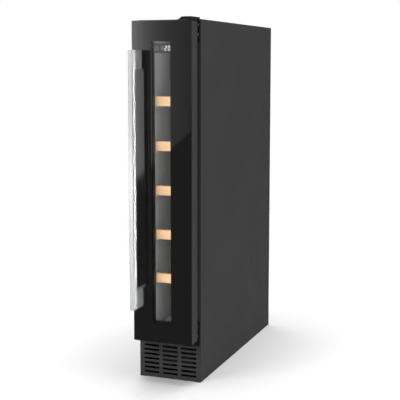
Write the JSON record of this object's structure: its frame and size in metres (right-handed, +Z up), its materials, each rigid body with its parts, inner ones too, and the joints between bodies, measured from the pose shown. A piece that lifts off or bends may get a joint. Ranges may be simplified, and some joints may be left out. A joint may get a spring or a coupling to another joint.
{
  "type": "wine cooler",
  "caption": "Slim under-counter wine cooler: dark steel cabinet, black framed glass door with a long bar handle, wood-fronted wire shelves, slotted plinth and a compressor bay.",
  "frame": {"origin": "on the floor, under the middle of the closed cooler's box, with its handle and hinge cap counted in", "axes": "+X to the cooler's right as seen from the front, where the door is hinged; +Y from the door to the back; +Z up"},
  "size_m": [0.15, 0.6226, 0.8192],
  "materials": {
    "casing_paint": "satin",
    "black_glass": "gloss",
    "clear_glass": "gloss",
    "black_plastic": "satin",
    "grey_plastic": "matte",
    "foam": "matte",
    "gasket_rubber": "matte",
    "chrome_steel": "polished",
    "zinc_steel": "satin",
    "beech": "satin",
    "black_enamel": "satin",
    "aluminium": "satin",
    "light_lens": "satin"
  },
  "bodies": {
    "cabinet": {"casing": "casing_paint", "front_rail": "casing_paint", "rear_panel": "casing_paint", "rear_grille": "casing_paint", "mains_gland": "black_plastic", "base_pan": "zinc_steel", "plinth_grille": "black_plastic", "insulation": "foam", "bulkhead": "zinc_steel", "cellar_liner": "black_plastic", "evaporator_cover": "black_plastic", "evaporator": "aluminium", "cellar_fan_frame": "black_plastic", "cellar_light": "light_lens", "temperature_probe": "grey_plastic", "floor_rack": "chrome_steel", "shelf_1_rack": "chrome_steel", "shelf_2_rack": "chrome_steel", "shelf_3_rack": "chrome_steel", "shelf_4_rack": "chrome_steel", "shelf_5_rack": "chrome_steel", "shelf_1_front": "beech", "shelf_2_front": "beech", "shelf_3_front": "beech", "shelf_4_front": "beech", "shelf_5_front": "beech", "condenser": "aluminium", "bay_fan_frame": "black_plastic", "control_box": "grey_plastic", "compressor": "black_enamel", "start_relay": "black_plastic", "drip_tray": "grey_plastic", "hinge_upper": "black_enamel", "hinge_lower": "black_enamel", "hinge_pin_upper": "zinc_steel", "hinge_pin_lower": "zinc_steel", "hinge_screw_1": "zinc_steel", "hinge_screw_2": "zinc_steel", "hinge_screw_3": "zinc_steel", "hinge_screw_4": "zinc_steel", "hinge_cap": "black_plastic"},
    "door": {"outer_glass": "black_glass", "door_frame": "black_plastic", "glass_spacer": "aluminium", "inner_glass": "clear_glass", "door_gasket": "gasket_rubber", "touch_display": "black_plastic", "handle_bar": "chrome_steel", "handle_post_upper": "chrome_steel", "handle_post_lower": "chrome_steel", "handle_screw_upper": "zinc_steel", "handle_screw_lower": "zinc_steel", "pivot_bush_upper": "grey_plastic", "pivot_bush_lower": "grey_plastic"},
    "cellar_fan": {"cellar_fan_rotor": "grey_plastic"},
    "bay_fan": {"bay_fan_rotor": "grey_plastic"},
    "levelling_foot_front_left": {"foot_front_left": "black_plastic"},
    "levelling_foot_front_right": {"foot_front_right": "black_plastic"},
    "levelling_foot_rear_left": {"foot_rear_left": "black_plastic"},
    "levelling_foot_rear_right": {"foot_rear_right": "black_plastic"}
  },
  "joints": [
    {"name": "door_hinge", "type": "hinge", "parent": "cabinet", "child": "door", "pos_m": [0.06, -0.2437, 0.45], "axis": [0, 0, 1], "range_deg": [0, 110]},
    {"name": "cellar_fan_spin", "type": "hinge", "parent": "cabinet", "child": "cellar_fan", "pos_m": [0, 0.2311, 0.713], "axis": [0, 1, 0], "continuous": true},
    {"name": "bay_fan_spin", "type": "hinge", "parent": "cabinet", "child": "bay_fan", "pos_m": [0, -0.1132, 0.04935], "axis": [0, 1, 0], "continuous": true},
    {"name": "foot_slide_front_left", "type": "slide", "parent": "cabinet", "child": "levelling_foot_front_left", "axis": [0, 0, 1], "range_m": [-0.02, 0]},
    {"name": "foot_slide_front_right", "type": "slide", "parent": "cabinet", "child": "levelling_foot_front_right", "axis": [0, 0, 1], "range_m": [-0.02, 0]},
    {"name": "foot_slide_rear_left", "type": "slide", "parent": "cabinet", "child": "levelling_foot_rear_left", "axis": [0, 0, 1], "range_m": [-0.02, 0]},
    {"name": "foot_slide_rear_right", "type": "slide", "parent": "cabinet", "child": "levelling_foot_rear_right", "axis": [0, 0, 1], "range_m": [-0.02, 0]}
  ]
}
